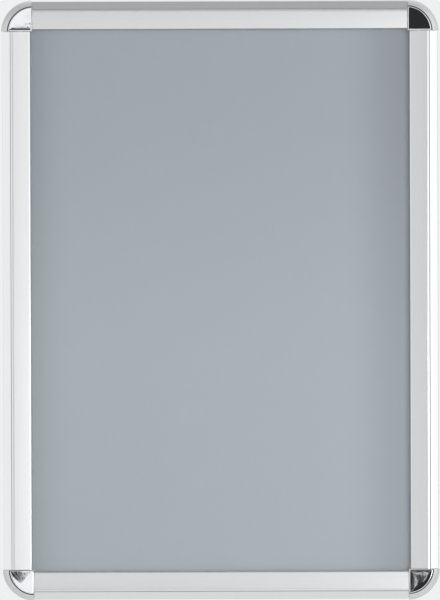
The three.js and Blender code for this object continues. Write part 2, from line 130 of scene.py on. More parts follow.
@dataclass
class Graph:
    """A node tree under construction, whose sockets are fed by name or place."""

    tree: NodeTree

    def node(
        self, kind: str, inputs: dict[str | int, object] | None = None, **settings: object
    ) -> Node:
        """Adds a node.

        Args:
            kind: the node's Blender type.
            inputs: values, nodes or output sockets, by input name or place.
            settings: the node's own properties.

        Returns:
            The new node.
        """
        made = self.tree.nodes.new(kind)
        for name, value in settings.items():
            setattr(made, name, value)
        for key, value in (inputs or {}).items():
            self.feed(made.inputs[key], value)
        return made

    def feed(self, socket: NodeSocket, value: object) -> None:
        """Links an input or sets it.

        Args:
            socket: the input.
            value: a node whose first output is linked, an output socket, or a plain value.
        """
        if isinstance(value, Node):
            value = value.outputs[0]
        if isinstance(value, NodeSocket):
            self.tree.links.new(value, socket)
        else:
            socket.default_value = value

    def given(self, name: str) -> NodeSocket:
        """What a group is given under a name."""
        return self.tree.nodes["Group Input"].outputs[name]

    def give(self, value: Node) -> NodeTree:
        """Feeds a group's first output, and returns the group."""
        self.feed(self.tree.nodes["Group Output"].inputs[0], value)
        return self.tree

    def show(self, shader: Node) -> None:
        """Feeds a material's surface."""
        self.feed(self.tree.nodes["Material Output"].inputs["Surface"], shader)

    def math(self, operation: str, *values: object) -> Node:
        """Adds a Math node fed with the values in order."""
        return self.node("ShaderNodeMath", dict(enumerate(values)), operation=operation)

    def along(self, axis: str, value: object) -> Node:
        """Adds a vector that lies along one axis."""
        return self.node("ShaderNodeCombineXYZ", {axis: value})

    def spread(self, value: object, low: float, high: float) -> Node:
        """Adds a node that spreads a value from 0 to 1 over low to high."""
        return self.node("ShaderNodeMapRange", {"Value": value, "To Min": low, "To Max": high})

    def ramp(self, value: object, low: float, high: float, most: float = 1.0) -> Node:
        """Adds a node that rises softly from 0 to the most, while a value goes from low to high."""
        inputs = {"Value": value, "From Min": low, "From Max": high, "To Max": most}
        return self.node("ShaderNodeMapRange", inputs, interpolation_type="SMOOTHSTEP")

    def mix(self, share: object, first: Node, second: Node) -> Node:
        """Adds a mix of two shaders, by the second one's share."""
        return self.node("ShaderNodeMixShader", {0: share, 1: first, 2: second})

    def painted(self, geometry: Node, finish: str, faces: object = True) -> Node:
        """Adds a node that gives some faces the finish that a group is given under a name."""
        inputs = {"Geometry": geometry, "Selection": faces, "Material": self.given(finish)}
        return self.node("GeometryNodeSetMaterial", inputs)

    def blend(self, share: object, first: object, second: object) -> NodeSocket:
        """Adds a mix of two colours.

        Args:
            share: the second colour's share, from 0 to 1.
            first: the colour at 0, or its socket.
            second: the colour at 1, or its socket.

        Returns:
            The mixed colour's socket.
        """
        first, second = ((*x, 1.0) if isinstance(x, tuple) else x for x in (first, second))
        inputs = {MIX_SHARE: share, MIX_FIRST: first, MIX_SECOND: second}
        return self.node("ShaderNodeMix", inputs, data_type="RGBA").outputs[MIX_RESULT]


def around(centre: Sequence[float], radius: float, degrees: float) -> Vector:
    """A point at an angle and a distance from a centre."""
    angle = math.radians(degrees)
    return Vector((centre[0] + radius * math.cos(angle), centre[1] + radius * math.sin(angle)))


@dataclass
class Outline:
    """A closed outline made of straight stretches and arcs."""

    points: list[Vector] = field(default_factory=list)

    def to(self, u: float, v: float) -> Self:
        """Adds a point."""
        self.points.append(Vector((u, v)))
        return self

    def arc(
        self, centre: Sequence[float], radius: float, start: float, end: float, count: int = 0
    ) -> Self:
        """Adds an arc.

        Args:
            centre: the arc's centre.
            radius: its radius.
            start: its first angle.
            end: its last angle.
            count: how many steps it has, or 0 to take as many as ARC_STEP asks for.

        Returns:
            The outline itself.
        """
        count = count or max(1, math.ceil(abs(end - start) / ARC_STEP))
        for i in range(count + 1):
            point = around(centre, radius, start + (end - start) * i / count)
            if not self.points or (point - self.points[-1]).length > NEAR:
                self.points.append(point)
        return self

    def softened(self, radius: float, steps: int = 3) -> Self:
        """Rounds the outline's sharp corners, as a die leaves them.

        Args:
            radius: the rounding's radius.
            steps: the faces of each rounding.

        Returns:
            A new outline.
        """
        made = Outline()
        total = len(self.points)
        for i, corner in enumerate(self.points):
            before = self.points[i - 1] - corner
            after = self.points[(i + 1) % total] - corner
            turn = math.pi - before.angle(after)
            if turn < math.radians(SHARP_TURN):
                made.points.append(corner)
                continue
            most = ROUND_SHARE * min(before.length, after.length)
            reach = min(radius * math.tan(turn / 2), most)
            start = corner + before.normalized() * reach
            end = corner + after.normalized() * reach
            for k in range(steps + 1):
                t = k / steps
                made.points.append(start * (1 - t) ** 2 + corner * 2 * t * (1 - t) + end * t * t)
        return made


def tidied(mesh: Mesh) -> Mesh:
    """Merges a mesh's doubles and turns its faces outwards.

    Args:
        mesh: the mesh, which is changed.

    Returns:
        The same mesh.
    """
    work = bmesh.new()
    work.from_mesh(mesh)
    bmesh.ops.remove_doubles(work, verts=work.verts, dist=MERGE_DISTANCE)
    bmesh.ops.recalc_face_normals(work, faces=work.faces)
    work.to_mesh(mesh)
    work.free()
    return mesh


def drafted(
    name: str, vertices: Iterable[Sequence[float]], faces: Iterable[Sequence[int]]
) -> Mesh:
    """A mesh from vertices in millimetres.

    Args:
        name: the mesh's name.
        vertices: the places of its vertices.
        faces: its faces, as vertex numbers.

    Returns:
        The mesh, in metres.
    """
    mesh = bpy.data.meshes.new(name)
    mesh.from_pydata([Vector(vertex) * MM for vertex in vertices], [], list(faces))
    return mesh


def lofted(name: str, rows: Sequence[Sequence[Sequence[float]]]) -> Mesh:
    """A closed mesh through rows of points that all have the same count.

    Args:
        name: the mesh's name.
        rows: closed loops of points, from one end to the other.

    Returns:
        The mesh, with its first and last rows capped.
    """
    count = len(rows[0])
    faces: list[list[int]] = [list(range(count))]
    for row in range(len(rows) - 1):
        low, high = row * count, (row + 1) * count
        for i in range(count):
            following = (i + 1) % count
            faces.append([low + i, low + following, high + following, high + i])
    faces.append(list(range((len(rows) - 1) * count, len(rows) * count)))
    return tidied(drafted(name, (point for row in rows for point in row), faces))


def turned(
    name: str, profile: Sequence[Sequence[float]], steps: int, middle: Sequence[float] = (0, 0)
) -> Mesh:
    """A turned solid around the v axis of a corner.

    Args:
        name: the mesh's name.
        profile: radius and v of each point, from axis to axis.
        steps: the faces in a full turn.
        middle: where the axis stands, in a and b.

    Returns:
        The mesh.
    """
    count = len(profile)
    points = []
    faces = []
    for i in range(steps):
        angle = math.tau * i / steps
        a, b = math.cos(angle), math.sin(angle)
        points += [(middle[0] + r * a, middle[1] + r * b, v) for r, v in profile]
        low, high = i * count, (i + 1) % steps * count
        faces += [[low + k, high + k, high + k + 1, low + k + 1] for k in range(count - 1)]
    return tidied(drafted(name, points, faces))


def block(name: str, low: Point, high: Point) -> Mesh:
    """A box between two opposite corners, used only to cut with."""
    plan = [(low[0], low[1]), (high[0], low[1]), (high[0], high[1]), (low[0], high[1])]
    return lofted(name, [[(*point, end) for point in plan] for end in (low[2], high[2])])


def loose(name: str, data: ID) -> Object:
    """Links an object that isn't yet on a body.

    Args:
        name: the object's name.
        data: its mesh, lamp or camera.

    Returns:
        The object.
    """
    made = bpy.data.objects.new(name, data)
    bpy.context.scene.collection.objects.link(made)
    return made


def evaluated(maker: Object) -> Mesh:
    """Takes an object's mesh with its modifiers applied, and removes the object.

    Args:
        maker: the object.

    Returns:
        The plain mesh, under the object's name.
    """
    graph = bpy.context.evaluated_depsgraph_get()
    mesh = bpy.data.meshes.new_from_object(maker.evaluated_get(graph), depsgraph=graph)
    mesh.name = maker.name
    bpy.data.objects.remove(maker)
    return mesh


def worked(name: str, base: Mesh, steps: Sequence[tuple[Cut, Mesh]]) -> Mesh:
    """Joins and cuts a solid, one step after another.

    Args:
        name: the result's name.
        base: the solid to start from.
        steps: what each further solid does to it.

    Returns:
        The worked mesh.
    """
    body = loose(name, base)
    tools = [loose(f"{name}_tool_{i}", mesh) for i, (_, mesh) in enumerate(steps)]
    for (cut, _), tool in zip(steps, tools):
        modifier = body.modifiers.new(tool.name, "BOOLEAN")
        modifier.operation = cut.value
        modifier.solver = "EXACT"
        modifier.material_mode = "TRANSFER"
        modifier.object = tool
    mesh = evaluated(body)
    for tool in tools:
        bpy.data.objects.remove(tool)
    return tidied(mesh)


def stood(mesh: Mesh, u: float, w: float) -> Mesh:
    """Stands a mesh that was turned about the v axis of a corner on v in a rail, at u and w."""
    mesh.transform(Matrix(((1, 0, 0, u * MM), (0, 0, 1, 0), (0, -1, 0, w * MM), (0, 0, 0, 1))))
    return mesh


def looking(place: Vector, aim: Vector) -> Matrix:
    """Where a lamp or a camera stands when it looks at a point."""
    turn = (aim - place).to_track_quat("-Z", "Y").to_matrix().to_4x4()
    return Matrix.Translation(place) @ turn


def dressed(name: str, mesh: Mesh, body: str, nodes: Sequence[str]) -> Object:
    """Puts a finished mesh on its body, in place of its nodes, smooth apart from its real edges.

    Args:
        name: the piece's name.
        mesh: its mesh, in place and with its materials.
        body: the body that it moves with.
        nodes: the nodes that it stands for.

    Returns:
        The piece.
    """
    mesh.name = name
    mesh.shade_smooth()
    mesh.set_sharp_from_angle(angle=math.radians(SMOOTH_ANGLE))
    piece = loose(name, mesh)
    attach(piece, body)
    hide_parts(*nodes)
    LOG.info("%s rides on %s with %d faces", name, body, len(mesh.polygons))
    return piece


def new_group(name: str, kind: str, inputs: dict[str, str], outputs: dict[str, str]) -> Graph:
    """Starts a node group.

    Args:
        name: the group's name.
        kind: the tree's type.
        inputs: kinds of socket by input name.
        outputs: kinds of socket by output name.

    Returns:
        The group's graph, with its Group Input and Group Output nodes.
    """
    tree = bpy.data.node_groups.new(name, kind)
    for way, sockets in (("INPUT", inputs), ("OUTPUT", outputs)):
        for label, socket in sockets.items():
            tree.interface.new_socket(name=label, in_out=way, socket_type=f"NodeSocket{socket}")
    graph = Graph(tree)
    graph.node("NodeGroupInput")
    graph.node("NodeGroupOutput")
    return graph


def run_tree(tree: NodeTree, name: str, mesh: Mesh, values: dict[str, object]) -> Mesh:
    """Runs a geometry tree on a mesh.

    Args:
        tree: the tree.
        name: the result's name.
        mesh: what goes in.
        values: the tree's other inputs by name.

    Returns:
        The plain mesh that comes out.
    """
    maker = loose(name, mesh)
    modifier = maker.modifiers.new(tree.name, "NODES")
    modifier.node_group = tree
    for item in tree.interface.items_tree:
        if item.in_out == "INPUT" and item.name in values:
            modifier[item.identifier] = values[item.name]
    return evaluated(maker)


def sweep_tree() -> NodeTree:
    """Makes the tree that draws a section out along w and finishes its sawn ends.

    Returns:
        The tree, with the section, the length and the two finishes in.
    """
    inputs = {
        "Section": "Geometry",
        "Length": "Float",
        "Finish": "Material",
        "Sawn Finish": "Material",
    }
    graph = new_group("drawn_section", "GeometryNodeTree", inputs, {"Mesh": "Geometry"})
    halves = [graph.math("MULTIPLY", graph.given("Length"), end / 2) for end in ENDS]
    start, end = (graph.along("Z", half) for half in halves)
    line = graph.node("GeometryNodeCurvePrimitiveLine", {"Start": start, "End": end})
    section = graph.node("GeometryNodeMeshToCurve", {"Mesh": graph.given("Section")})
    path = {"Curve": line, "Profile Curve": section, "Fill Caps": True}
    drawn = graph.node("GeometryNodeCurveToMesh", path)
    facing = graph.node("ShaderNodeSeparateXYZ", {0: graph.node("GeometryNodeInputNormal")})
    square = graph.math("ABSOLUTE", facing.outputs["Z"])
    sawn = graph.math("GREATER_THAN", square, END_FACING)
    whole = graph.node("GeometryNodeRealizeInstances", {"Geometry": drawn})
    return graph.give(graph.painted(graph.painted(whole, "Finish"), "Sawn Finish", sawn))


def row_tree() -> NodeTree:
    """Makes the tree that sets copies of a fitting in a row along w, each turned about v.

    Returns:
        The tree, with the fitting, its row, its most turn, a seed and the finish in.
    """
    inputs = {
        "Fitting": "Geometry",
        "Count": "Int",
        "First": "Float",
        "Step": "Float",
        "Turn": "Float",
        "Seed": "Int",
        "Finish": "Material",
    }
    graph = new_group("fitting_row", "GeometryNodeTree", inputs, {"Mesh": "Geometry"})
    first, step = (graph.along("Z", graph.given(name)) for name in ("First", "Step"))
    places = {"Count": graph.given("Count"), "Start Location": first, "Offset": step}
    line = graph.node("GeometryNodeMeshLine", places)
    most = graph.along("Y", graph.given("Turn"))
    span = {0: (0.0, 0.0, 0.0), 1: most, "Seed": graph.given("Seed")}
    turn = graph.node("FunctionNodeRandomValue", span, data_type="FLOAT_VECTOR")
    copies = {"Points": line, "Instance": graph.given("Fitting"), "Rotation": turn}
    row = graph.node("GeometryNodeInstanceOnPoints", copies)
    whole = graph.node("GeometryNodeRealizeInstances", {"Geometry": row})
    return graph.give(graph.painted(whole, "Finish"))


def noise_group(name: str, detail: float, roughness: float) -> NodeTree:
    """A shader group of soft noise, measured in millimetres.

    Args:
        name: the group's name.
        detail: the noise's detail.
        roughness: how strong its finest part is.

    Returns:
        The group, with Place, Size and Stretch in and Amount out.
    """
    inputs = {"Place": "Vector", "Size": "Float", "Stretch": "Vector"}
    graph = new_group(name, "ShaderNodeTree", inputs, {"Amount": "Float"})
    factors = {0: graph.given("Place"), 1: graph.given("Stretch")}
    drawn = graph.node("ShaderNodeVectorMath", factors, operation="MULTIPLY")
    scale = graph.math("DIVIDE", 1.0, graph.given("Size"))
    kind = {"Vector": drawn, "Scale": scale, "Detail": detail, "Roughness": roughness}
    noise = graph.node("ShaderNodeTexNoise", kind).outputs["Fac"]
    low, high = NOISE_SPAN
    span = {"Value": noise, "From Min": low, "From Max": high}
    return graph.give(graph.node("ShaderNodeMapRange", span))


class Effect(Enum):
    """The surface effects that finishes share, each a shader group made once."""

    GRAIN = ("fine_grain", 3.0, 0.6)
    SMUDGE = ("handling_smudges", 2.0, 0.45)

    def group(self) -> NodeTree:
        """The effect's shader group."""
        name, detail, roughness = self.value
        return bpy.data.node_groups.get(name) or noise_group(name, detail, roughness)


@dataclass(frozen=True)
class Finish:
    """A finish: two near colours and a span of roughness, mixed by its surface effects."""

    name: str
    dark: Colour
    light: Colour
    smooth: float
    rough: float
    metallic: float
    grain_size: float
    grain_stretch: Point = (1.0, 1.0, 1.0)
    grain_depth: float = 0.0
    smudge_size: float = 45.0
    smudge_share: float = 0.3
    follows_rail: bool = False

    def material(self) -> Material:
        """Makes the finish's material, once.

        Returns:
            The material.
        """
        made = bpy.data.materials.get(self.name)
        if made is None:
            made = bpy.data.materials.new(self.name)
            made.use_nodes = True
            self.wire(Graph(made.node_tree), made.node_tree.nodes["Principled BSDF"])
        return made

    def wire(self, graph: Graph, shader: Node) -> None:
        """Feeds the shader's colour, roughness and relief.

        Args:
            graph: the material's graph.
            shader: its Principled shader.
        """
        place = self.place(graph)
        grain = self.effect(graph, Effect.GRAIN, place, self.grain_size, self.grain_stretch)
        smudge = self.effect(graph, Effect.SMUDGE, place, self.smudge_size, (1.0, 1.0, 1.0))
        shader.inputs["Metallic"].default_value = self.metallic
        graph.feed(shader.inputs["Base Color"], self.colour(graph, place, grain))
        kept = graph.math("MULTIPLY", grain, 1.0 - self.smudge_share)
        mixed = graph.math("MULTIPLY_ADD", smudge, self.smudge_share, kept)
        graph.feed(shader.inputs["Roughness"], graph.spread(mixed, self.smooth, self.rough))
        if self.grain_depth > 0.0:
            inputs = {"Strength": 1.0, "Distance": self.grain_depth * MM, "Height": grain}
            graph.feed(shader.inputs["Normal"], graph.node("ShaderNodeBump", inputs))

    def colour(self, graph: Graph, place: Node, grain: Node) -> NodeSocket:
        """Mixes the finish's colours at a place, by the grain's amount there."""
        return graph.blend(grain, self.dark, self.light)

    def place(self, graph: Graph) -> Node:
        """Reads where a point of the surface is, along its rail or in the frame.

        Args:
            graph: the material's graph.

        Returns:
            The node that gives the place in millimetres.
        """
        if self.follows_rail:
            reader = graph.node("ShaderNodeAttribute", attribute_name=RAIL_PLACE)
            return graph.node("ShaderNodeVectorMath", {0: reader.outputs["Vector"]})
        reader = graph.node("ShaderNodeTexCoord")
        inputs = {0: reader.outputs["Object"], "Scale": 1.0 / MM}
        return graph.node("ShaderNodeVectorMath", inputs, operation="SCALE")

    def effect(
        self, graph: Graph, effect: Effect, place: Node, size: float, stretch: Point
    ) -> Node:
        """Places a shared effect with spots of a size, finer along each axis by the stretch."""
        inputs = {"Place": place, "Size": size, "Stretch": stretch}
        return graph.node("ShaderNodeGroup", inputs, node_tree=effect.group())


@dataclass(frozen=True)
class PanelFinish(Finish):
    """The back panel's finish, with painted shade: its grey is darkened softly towards the side
    rails and the top.
    """

    # The painted shade's colour, and where and how strongly it darkens the grey towards the side
    # rails and the top.
    deep: Colour = (0.0, 0.0, 0.0)
    side_shift: float = 14.0
    side_from: float = 145.0
    side_to: float = 205.0
    side_share: float = 0.19
    top_from: float = -400.0
    top_to: float = -40.0
    top_share: float = 0.125

    def colour(self, graph: Graph, place: Node, grain: Node) -> NodeSocket:
        """Mixes the finish's colours, and deepens them by place.

        Args:
            graph: the material's graph.
            place: where a point of the surface is.
            grain: the grain's amount there.

        Returns:
            Mixes the finish's colours, and darkens them by place with painted shade.
        """
        # Painted shade: the grey is mixed towards black near the side rails and towards the top.
        axes = graph.node("ShaderNodeSeparateXYZ", {0: place}).outputs
        across = graph.math("ABSOLUTE", graph.math("ADD", axes["X"], self.side_shift))
        side_shade = graph.ramp(across, self.side_from, self.side_to, self.side_share)
        top = graph.ramp(axes["Z"], self.top_from, self.top_to, self.top_share)
        share = graph.math("ADD", top, side_shade)
        return graph.blend(share, super().colour(graph, place, grain), self.deep)


@dataclass(frozen=True)
class ClearFinish(Finish):
    """The cover sheet's finish: clear, with a matt face that shines back a little of the light."""

    index: float = 1.49
    haze: float = 0.03
    tint: Colour = (0.955, 0.965, 0.97)

    def wire(self, graph: Graph, shader: Node) -> None:
        """Feeds the shader as other finishes do, and lets most light through.

        Args:
            graph: the material's graph.
            shader: its Principled shader.
        """
        super().wire(graph, shader)
        shine = graph.math("ADD", graph.node("ShaderNodeFresnel", {"IOR": self.index}), self.haze)
        rear = graph.node("ShaderNodeNewGeometry").outputs["Backfacing"]
        share = graph.math("MULTIPLY", shine, graph.math("SUBTRACT", 1.0, rear))
        clear = graph.node("ShaderNodeBsdfTransparent", {"Color": (*self.tint, 1.0)})
        graph.show(graph.mix(share, clear, shader))


@dataclass(frozen=True)
class FloorFinish(Finish):
    """The floor's finish: it is seen near white, and isn't seen from below."""

    seen_white: float = 0.7

    def wire(self, graph: Graph, shader: Node) -> None:
        """Feeds the shader as other finishes do, lifts it to near white and clears its rear.

        Args:
            graph: the material's graph.
            shader: its Principled shader.
        """
        super().wire(graph, shader)
        rays = graph.node("ShaderNodeLightPath").outputs
        seen = graph.math("MAXIMUM", rays["Is Camera Ray"], rays["Is Glossy Ray"])
        seen = graph.math("MAXIMUM", seen, rays["Is Transmission Ray"])
        share = graph.math("MULTIPLY", seen, self.seen_white)
        white = graph.node("ShaderNodeEmission", {"Strength": 1.0})
        lifted = graph.mix(share, shader, white)
        rear = graph.node("ShaderNodeNewGeometry").outputs["Backfacing"]
        graph.show(graph.mix(rear, lifted, graph.node("ShaderNodeBsdfTransparent")))


ALUMINIUM = Finish(
    "satin_anodised_aluminium", dark=(0.75, 0.755, 0.76), light=(0.80, 0.805, 0.81),
    smooth=0.30, rough=0.38, metallic=1.0,
    grain_size=0.25, grain_stretch=(1.0, 1.0, 0.004), grain_depth=0.0015, follows_rail=True,
)
SAWN = Finish(
    "sawn_aluminium", dark=(0.70, 0.70, 0.71), light=(0.86, 0.86, 0.87),
    smooth=0.30, rough=0.50, metallic=1.0,
    grain_size=0.30, grain_stretch=(0.15, 1.0, 1.0), grain_depth=0.01, follows_rail=True,
)
SATIN_CHROME = Finish(
    "satin_chrome", dark=(0.66, 0.665, 0.675), light=(0.71, 0.715, 0.725),
    smooth=0.42, rough=0.52, metallic=0.6, grain_size=0.18, grain_depth=0.003,
)
POLISHED_CHROME = Finish(
    "polished_chrome", dark=(0.78, 0.79, 0.81), light=(0.82, 0.83, 0.85),
    smooth=0.02, rough=0.05, metallic=1.0,
    grain_size=7.0, grain_depth=0.006, smudge_size=9.0, smudge_share=0.6,
)
# A near-black chrome that paints shade into the corners' grooves.
GROOVE_SHADE_CHROME = Finish(
    "dull_chrome", dark=(0.055, 0.057, 0.06), light=(0.085, 0.087, 0.09),
    smooth=0.45, rough=0.60, metallic=0.6, grain_size=0.6,
)
SPRING_STEEL = Finish(
    "rolled_spring_steel", dark=(0.30, 0.31, 0.33), light=(0.38, 0.39, 0.41),
    smooth=0.26, rough=0.40, metallic=1.0,
    grain_size=0.3, grain_stretch=(0.02, 0.02, 1.0), grain_depth=0.002, follows_rail=True,
)
ZINC_PLATE = Finish(
    "bright_zinc_plate", dark=(0.55, 0.57, 0.61), light=(0.70, 0.69, 0.66),
    smooth=0.24, rough=0.36, metallic=1.0, grain_size=1.2, smudge_size=3.0,
)
# The back panel's grey, with painted shade towards the side rails and the top.
SHADE_PAINTED_GREY_SHEET = PanelFinish(
    "grey_panel_sheet", dark=(0.506, 0.536, 0.568), light=(0.522, 0.552, 0.585),
    smooth=0.50, rough=0.62, metallic=0.0, grain_size=0.8, grain_depth=0.01, smudge_size=90.0,
)
CLEAR_SHEET = ClearFinish(
    "clear_film", dark=(0.94, 0.95, 0.96), light=(0.96, 0.97, 0.98),
    smooth=0.26, rough=0.32, metallic=1.0, grain_size=0.5, grain_depth=0.002, smudge_size=120.0,
)
BLACK_CARD = Finish(
    "black_card", dark=(0.012, 0.012, 0.012), light=(0.018, 0.018, 0.019),
    smooth=0.7, rough=0.9, metallic=0.0, grain_size=4.0,
)
PALE_FLOOR = FloorFinish(
    "pale_floor", dark=(0.80, 0.80, 0.795), light=(0.83, 0.83, 0.825),
    smooth=0.55, rough=0.75, metallic=0.0, grain_size=6.0, smudge_size=200.0,
)


@dataclass(frozen=True)
class HingeSizes:
    """The hinge that a base rail's bead and a flap's hook make."""

    u: float = 11.5
    v: float = 9.4
    bead: float = 1.45
    hook_inner: float = 1.7
    hook_outer: float = 3.0
    spring_radius: float = 3.25
    spring_angle: float = -68.5

    @property
    def centre(self) -> Vector:
        """The hinge's axis in the section."""
        return Vector((self.u, self.v))

    @property
    def spring_tip(self) -> Vector:
        """Where the springs' moving edge sits while the flap is shut."""
        return around(self.centre, self.spring_radius, self.spring_angle)


@dataclass(frozen=True)
class BaseSection:
    """The base rail's section: flange, spring rib, hinge arm and shoulder."""

    hinge: HingeSizes
    wall: float = 1.3
    flange_end: float = 27.0
    edge_break: float = 0.4
    outer_top: float = 4.6
    outer_round: float = 1.2
    arm_angle: float = 255.0
    arm_wall: float = 1.0
    lip_radius: float = 3.1
    lip_angle: float = 158.0
    rib_inner: float = 20.9
    rib_groove: float = 19.75
    rib_face: float = 19.4
    rib_lip: float = 18.9
    groove_v: float = 5.95
    groove_half: float = 0.65
    groove_lip: float = 0.7
    softness: float = 0.08

    def arm_foot(self, side: int) -> float:
        """Where one side of the hinge arm meets the flange.

        Args:
            side: 1 for the window's side of the arm, and -1 for the outer side.

        Returns:
            The place's u.
        """
        down = around((0, 0), 1.0, self.arm_angle)
        edge = self.hinge.centre + Vector((-down.y, down.x)) * (side * self.arm_wall / 2)
        return edge.x + down.x * (self.wall - edge.y) / down.y

    def shoulder(self) -> tuple[Vector, float, float]:
        """The shoulder's inner face.

        Returns:
            Where the face meets the outer wall, the angle where it meets the lip's arc, and the
            shoulder's slope.
        """
        centre = self.hinge.centre
        top = around(centre, self.lip_radius, self.lip_angle)
        along = (Vector((0.0, self.outer_top)) - top).normalized()
        start = top + Vector((-along.y, along.x)) * self.wall
        offset = start - centre
        half = offset.dot(along)
        reach = math.sqrt(half * half - offset.length_squared + self.lip_radius**2) - half
        inner = start + along * reach
        foot = inner + along * ((self.wall - inner.x) / along.x)
        angle = 360.0 + math.degrees(math.atan2(inner.y - centre.y, inner.x - centre.x))
        return foot, angle, math.degrees(math.atan2(-along.y, -along.x))

    def outline(self) -> Outline:
        """Draws the section.

        Returns:
            Its outline, with its corners softened.
        """
        centre = self.hinge.centre
        arm_side = math.degrees(math.asin(self.arm_wall / 2 / self.hinge.bead))
        bead_start = self.arm_angle + arm_side - 360.0
        foot, inner_angle, slope = self.shoulder()
        round_reach = self.outer_round * math.tan(math.radians((90.0 - slope) / 2))
        round_centre = (self.outer_round, self.outer_top - round_reach)
        lip_top = self.groove_v + self.groove_half + self.groove_lip
        return (
            Outline()
            .to(self.edge_break, 0.0)
            .to(self.flange_end, 0.0)
            .to(self.flange_end, self.wall)
            .to(self.rib_inner, self.wall)
            .to(self.rib_inner, lip_top)
            .to(self.rib_lip, lip_top)
            .to(self.rib_lip, lip_top - self.groove_lip)
            .to(self.rib_groove, lip_top - self.groove_lip)
            .to(self.rib_groove, self.groove_v - self.groove_half)
            .to(self.rib_face, self.groove_v - 2 * self.groove_half)
            .to(self.rib_face, self.wall)
            .to(self.arm_foot(1), self.wall)
            .arc(centre, self.hinge.bead, bead_start, self.arm_angle - arm_side)
            .to(self.arm_foot(-1), self.wall)
            .to(self.wall, self.wall)
            .to(*foot)
            .arc(centre, self.lip_radius, inner_angle, self.lip_angle)
            .arc(round_centre, self.outer_round, 90.0 + slope, 180.0)
            .to(0.0, self.edge_break)
            .softened(self.softness)
        )


@dataclass(frozen=True)
class FlapSection:
    """The flap's section: notched hook, sloped face, rounded lip and foot."""

    hinge: HingeSizes
    width: float = 30.0
    hook_start: float = -81.0
    hook_end: float = 146.0
    slope: float = 10.5
    wall: float = 1.2
    lip_round: float = 2.0
    foot_height: float = 3.6
    foot_toe: float = 0.8
    hook_tip: float = -87.0
    notch_radius: float = 0.34
    notch_steps: int = 6
    softness: float = 0.1

    def notch(self) -> tuple[Vector, float, float]:
        """The notch in the hook where the springs' edge sits.

        Returns:
            Its centre, its half width seen from the hinge and its half opening seen from itself.
        """
        outer, reach, radius = self.hinge.hook_outer, self.hinge.spring_radius, self.notch_radius
        half = math.acos((outer**2 + reach**2 - radius**2) / (2 * outer * reach))
        gape = math.acos((reach**2 + radius**2 - outer**2) / (2 * reach * radius))
        return self.hinge.spring_tip, math.degrees(half), math.degrees(gape)

    def outline(self) -> Outline:
        """Draws the section.

        Returns:
            Its outline, with its corners softened.
        """
        centre = self.hinge.centre
        outer, inner = self.hinge.hook_outer, self.hinge.hook_inner
        face = 90.0 - self.slope
        normal = around((0, 0), 1.0, face)
        lip_u = self.width - self.lip_round
        rise = (outer - self.lip_round - (lip_u - centre.x) * normal.x) / normal.y
        lip = Vector((lip_u, centre.y + rise))
        under = face - math.degrees(math.acos((outer - self.wall) / outer))
        lip_inner = self.width - self.wall
        notch, half, gape = self.notch()
        rest, back = self.hinge.spring_angle, self.hinge.spring_angle + 180.0
        return (
            Outline()
            .arc(centre, outer, face, self.hook_end)
            .arc(centre, inner, self.hook_end, self.hook_start)
            .arc(centre, outer, self.hook_tip, rest - half)
            .arc(notch, self.notch_radius, back + gape, back - gape, self.notch_steps)
            .arc(centre, outer, rest + half, under)
            .arc(lip, self.lip_round - self.wall, face, 0.0)
            .to(lip_inner, self.foot_height + 2 * self.foot_toe)
            .to(lip_inner - self.foot_toe, self.foot_height + self.foot_toe)
            .to(lip_inner - self.foot_toe, self.foot_height)
            .to(self.width, self.foot_height)
            .arc(lip, self.lip_round, 0.0, face)
            .softened(self.softness)
        )


@dataclass(frozen=True)
class LeafSpring:
    """A bowed leaf between the base rail's groove and the notch in the flap's hook."""

    hinge: HingeSizes
    seat_u: float = 19.45
    seat_v: float = 5.95
    wall: float = 0.5
    bow: float = 0.55
    length: float = 30.0
    corner: float = 2.0
    columns: int = 24

    def half_length(self, x: float, width: float) -> float:
        """Half the leaf's length at a distance across it, where its corners are rounded.

        Args:
            x: the distance from the leaf's seat.
            width: the leaf's whole width.

        Returns:
            The half length.
        """
        edge = min(x, width - x)
        if edge >= self.corner:
            return self.length / 2
        inset = self.corner - math.sqrt(self.corner**2 - (self.corner - edge) ** 2)
        return self.length / 2 - inset

    def mesh(self) -> Mesh:
        """Makes one leaf, in its rail's section and at w = 0.

        Returns:
            The mesh.
        """
        seat = Vector((self.seat_u, self.seat_v))
        chord = self.hinge.spring_tip - seat
        width = chord.length
        across = chord.normalized()
        away = Vector((across.y, -across.x))
        radius = (width**2 / 4 + self.bow**2) / (2 * self.bow)
        opening = math.asin(width / 2 / radius)
        corners = ((-0.5, -1), (-0.5, 1), (0.5, 1), (0.5, -1))
        rows = []
        for i in range(self.columns + 1):
            angle = opening * (2 * i / self.columns - 1)
            half = self.half_length(width * i / self.columns, width)
            row = []
            for depth, end in corners:
                reach = radius + depth * self.wall
                x = width / 2 + reach * math.sin(angle)
                y = radius - self.bow - reach * math.cos(angle)
                row.append((*(seat + across * x + away * y), end * half))
            rows.append(row)
        return lofted("leaf_spring", rows)


